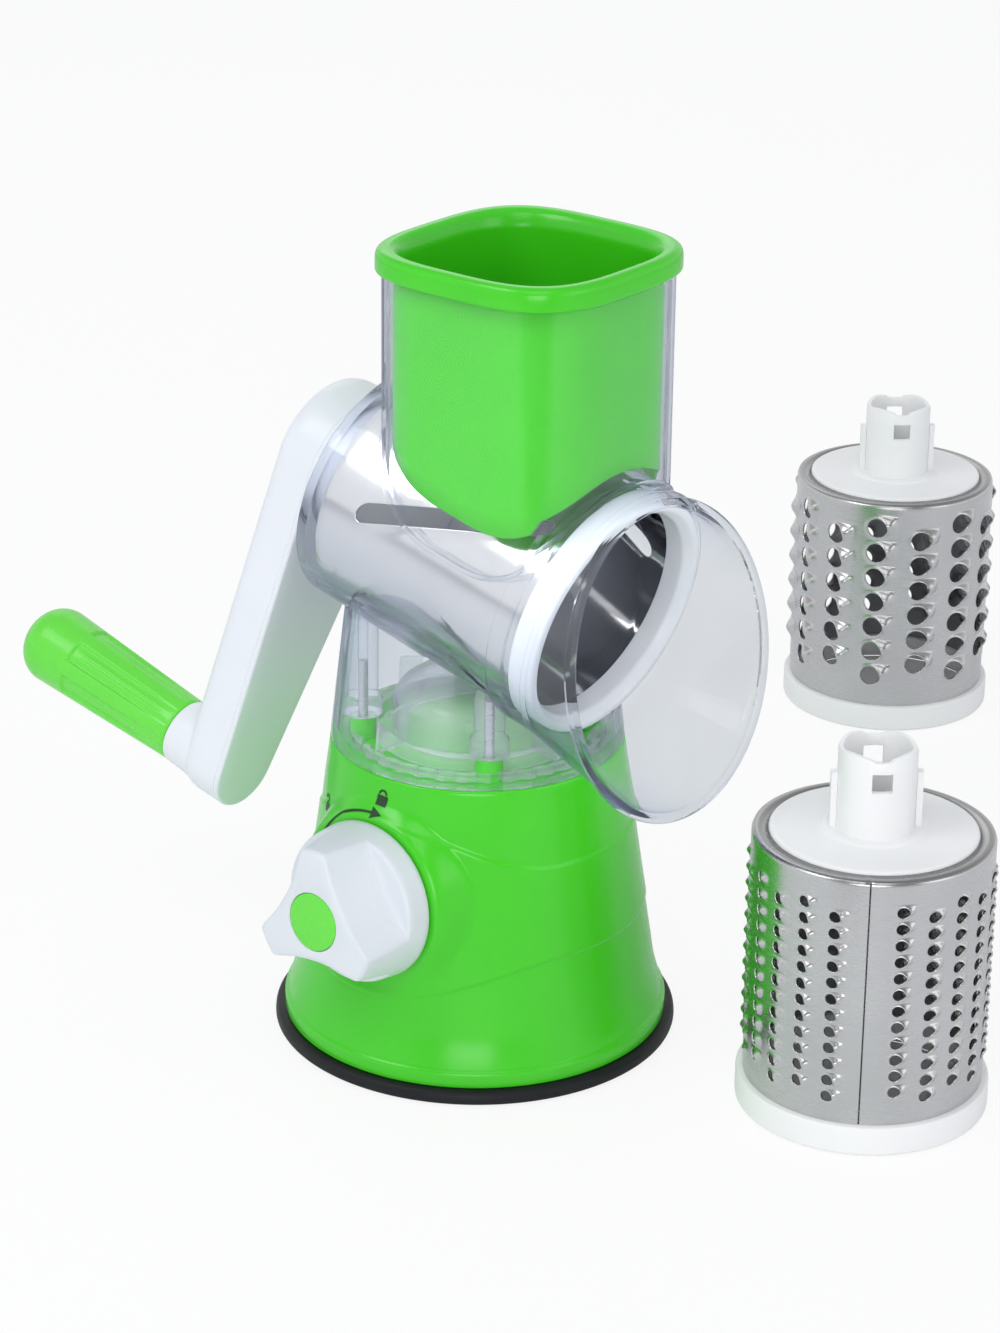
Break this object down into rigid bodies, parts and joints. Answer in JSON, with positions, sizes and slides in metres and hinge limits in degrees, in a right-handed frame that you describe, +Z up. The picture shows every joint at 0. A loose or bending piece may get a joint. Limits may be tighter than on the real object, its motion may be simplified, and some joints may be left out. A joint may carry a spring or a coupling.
{
  "type": "rotary cabbage shredder",
  "caption": "Hand cranked rotary shredder with a suction base, clear housing, feed chute with pusher, flared outlet, a slotted drum on the crank, and grating drums standing beside it.",
  "frame": {"origin": "centre of the suction cup's underside, on the table", "axes": "+Z up; the outlet faces -Y; the crank is on the +Y side; the suction knob is on the -X side"},
  "size_m": [0.4463, 0.3518, 0.2725],
  "materials": {
    "rubber_black": "matt soft rubber",
    "plastic_green": "bright green, glossy, moulded",
    "plastic_pale": "bluish white, glossy, moulded",
    "plastic_clear": "clear moulded plastic, glossy",
    "steel_sheet": "bright stainless sheet",
    "steel_bright": "bright steel",
    "print_dark": "thin dark print"
  },
  "bodies": {
    "machine": {"base_shell": "plastic_green", "suction_cup": "rubber_black", "clear_housing": "plastic_clear", "housing_screws": "steel_bright", "rear_bush": "plastic_pale", "lock_marks": "print_dark", "lift_spring": "steel_bright"},
    "stem": {"lift_stem": "plastic_pale"},
    "knob_unit": {"knob": "plastic_pale", "knob_cap": "plastic_green", "knob_screw": "steel_bright", "cam_shaft": "plastic_pale"},
    "pusher_unit": {"pusher": "plastic_green"},
    "crank": {"crank_arm": "plastic_pale", "crank_arm_cover": "plastic_pale", "drive_plug": "plastic_pale", "drive_plug_screw": "steel_bright", "grip_axle": "plastic_pale", "grip_axle_screw": "steel_bright"},
    "grip": {"crank_grip": "plastic_green"},
    "slicing_drum": {"slicing_drum_sheet": "steel_sheet", "slicing_drum_ring": "plastic_pale", "slicing_drum_hub": "plastic_pale"},
    "coarse_drum": {"coarse_drum_sheet": "steel_sheet", "coarse_drum_ring": "plastic_pale", "coarse_drum_hub": "plastic_pale"},
    "fine_drum": {"fine_drum_sheet": "steel_sheet", "fine_drum_ring": "plastic_pale", "fine_drum_hub": "plastic_pale"}
  },
  "joints": [
    {"name": "crank_turn", "type": "hinge", "parent": "machine", "child": "crank", "pos_m": [0, 0, 0.1715], "axis": [0, -0.9694, -0.2453], "continuous": true},
    {"name": "grip_spin", "type": "hinge", "parent": "crank", "child": "grip", "pos_m": [-0.02926, 0.10501, 0.08303], "axis": [0, -0.9694, -0.2453], "continuous": true},
    {"name": "drum_pull", "type": "slide", "parent": "crank", "child": "slicing_drum", "axis": [0, 0.9694, 0.2453], "range_m": [-0.05, 0]},
    {"name": "pusher_slide", "type": "slide", "parent": "machine", "child": "pusher_unit", "axis": [0, 0, 1], "range_m": [0, 0.1]},
    {"name": "knob_turn", "type": "hinge", "parent": "machine", "child": "knob_unit", "pos_m": [0, 0, 0.0597], "axis": [0.9986, 0, -0.0523], "range_deg": [0, 90]},
    {"name": "stem_lift", "type": "slide", "parent": "machine", "child": "stem", "axis": [0, 0, 1], "range_m": [0, 0.004], "deforming": ["lift_spring", "suction_cup"]},
    {"name": "coarse_drum_lift", "type": "slide", "parent": "machine", "child": "coarse_drum", "axis": [0, 0, 1], "range_m": [0, 0.15]},
    {"name": "fine_drum_lift", "type": "slide", "parent": "machine", "child": "fine_drum", "axis": [0, 0, 1], "range_m": [0, 0.15]}
  ],
  "couplings": [
    {"joint": "stem_lift", "follows": "knob_turn", "m_per_rad": 0.002546}
  ]
}
